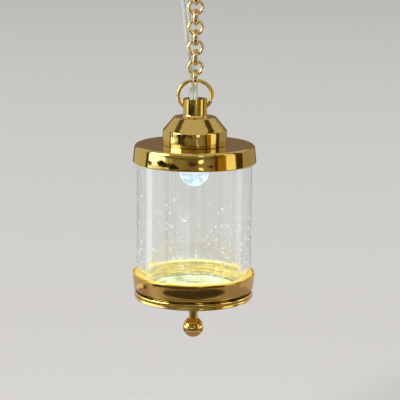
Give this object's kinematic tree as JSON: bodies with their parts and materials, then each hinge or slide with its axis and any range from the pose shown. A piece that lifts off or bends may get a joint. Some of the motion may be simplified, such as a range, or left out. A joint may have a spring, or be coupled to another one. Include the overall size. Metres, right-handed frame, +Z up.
{
  "type": "pendant light",
  "caption": "Dolls' house ceiling lantern: a lit clear tube between polished brass cups, hung from a rose by a round-link chain with a twin flex behind it.",
  "frame": {"origin": "on the ceiling face, on the axis of the screw", "axes": "+Z up into the ceiling along the screw; +X to the viewer's right, along the jump ring's width; -Y to the viewer, away from the flex"},
  "size_m": [0.02, 0.02, 0.0697],
  "materials": {
    "plated_brass": "polished gold plate",
    "chain_brass": "polished gold plate",
    "clear_acrylic": "clear, polished, finely scratched",
    "lamp_resin": "clear cast resin",
    "phosphor": "glowing phosphor",
    "lead_metal": "tinned",
    "sleeve_plastic": "shrunk tubing",
    "flex_plastic": "translucent sheath",
    "bush_plastic": "moulded, translucent"
  },
  "bodies": {
    "ceiling_fitting": {"ceiling_rose": "plated_brass", "screw_eye": "plated_brass", "flex_bush": "bush_plastic", "twin_flex": "flex_plastic"},
    "link_01": {"chain_link_01": "chain_brass"},
    "link_02": {"chain_link_02": "chain_brass"},
    "link_03": {"chain_link_03": "chain_brass"},
    "link_04": {"chain_link_04": "chain_brass"},
    "link_05": {"chain_link_05": "chain_brass"},
    "link_06": {"chain_link_06": "chain_brass"},
    "link_07": {"chain_link_07": "chain_brass"},
    "link_08": {"chain_link_08": "chain_brass"},
    "link_09": {"chain_link_09": "chain_brass"},
    "link_10": {"chain_link_10": "chain_brass"},
    "ring": {"jump_ring": "plated_brass"},
    "lantern": {"neck_tube": "plated_brass", "bell": "plated_brass", "top_cap": "plated_brass", "clear_tube": "clear_acrylic", "led_lens": "lamp_resin", "led_cathode": "lead_metal", "led_anode": "lead_metal", "led_phosphor": "phosphor", "sleeve_left": "sleeve_plastic", "sleeve_right": "sleeve_plastic", "bottom_cup": "plated_brass", "base_disc": "plated_brass", "finial": "plated_brass"}
  },
  "joints": [
    {"name": "link_01_swing", "type": "hinge", "parent": "ceiling_fitting", "child": "link_01", "pos_m": [0, 0, -0.00649], "axis": [0, 1, 0], "range_deg": [-8, 8], "deforming": ["twin_flex"]},
    {"name": "link_02_swing", "type": "hinge", "parent": "link_01", "child": "link_02", "pos_m": [0, 0, -0.0081], "axis": [1, 0, 0], "range_deg": [-8, 8], "deforming": ["twin_flex"]},
    {"name": "link_03_swing", "type": "hinge", "parent": "link_02", "child": "link_03", "pos_m": [0, 0, -0.00971], "axis": [0, 1, 0], "range_deg": [-8, 8], "deforming": ["twin_flex"]},
    {"name": "link_04_swing", "type": "hinge", "parent": "link_03", "child": "link_04", "pos_m": [0, 0, -0.01132], "axis": [1, 0, 0], "range_deg": [-8, 8], "deforming": ["twin_flex"]},
    {"name": "link_05_swing", "type": "hinge", "parent": "link_04", "child": "link_05", "pos_m": [0, 0, -0.01293], "axis": [0, 1, 0], "range_deg": [-8, 8], "deforming": ["twin_flex"]},
    {"name": "link_06_swing", "type": "hinge", "parent": "link_05", "child": "link_06", "pos_m": [0, 0, -0.01454], "axis": [1, 0, 0], "range_deg": [-8, 8], "deforming": ["twin_flex"]},
    {"name": "link_07_swing", "type": "hinge", "parent": "link_06", "child": "link_07", "pos_m": [0, 0, -0.01615], "axis": [0, 1, 0], "range_deg": [-8, 8], "deforming": ["twin_flex"]},
    {"name": "link_08_swing", "type": "hinge", "parent": "link_07", "child": "link_08", "pos_m": [0, 0, -0.01776], "axis": [1, 0, 0], "range_deg": [-8, 8], "deforming": ["twin_flex"]},
    {"name": "link_09_swing", "type": "hinge", "parent": "link_08", "child": "link_09", "pos_m": [0, 0, -0.01937], "axis": [0, 1, 0], "range_deg": [-8, 8], "deforming": ["twin_flex"]},
    {"name": "link_10_swing", "type": "hinge", "parent": "link_09", "child": "link_10", "pos_m": [0, 0, -0.02098], "axis": [1, 0, 0], "range_deg": [-8, 8], "deforming": ["twin_flex"]},
    {"name": "ring_swing", "type": "hinge", "parent": "link_10", "child": "ring", "pos_m": [0, 0, -0.02259], "axis": [0, 1, 0], "range_deg": [-20, 20], "deforming": ["twin_flex"]},
    {"name": "lantern_swing", "type": "hinge", "parent": "ring", "child": "lantern", "pos_m": [0, 0, -0.0262], "axis": [1, 0, 0], "range_deg": [-15, 15], "deforming": ["twin_flex"]}
  ]
}
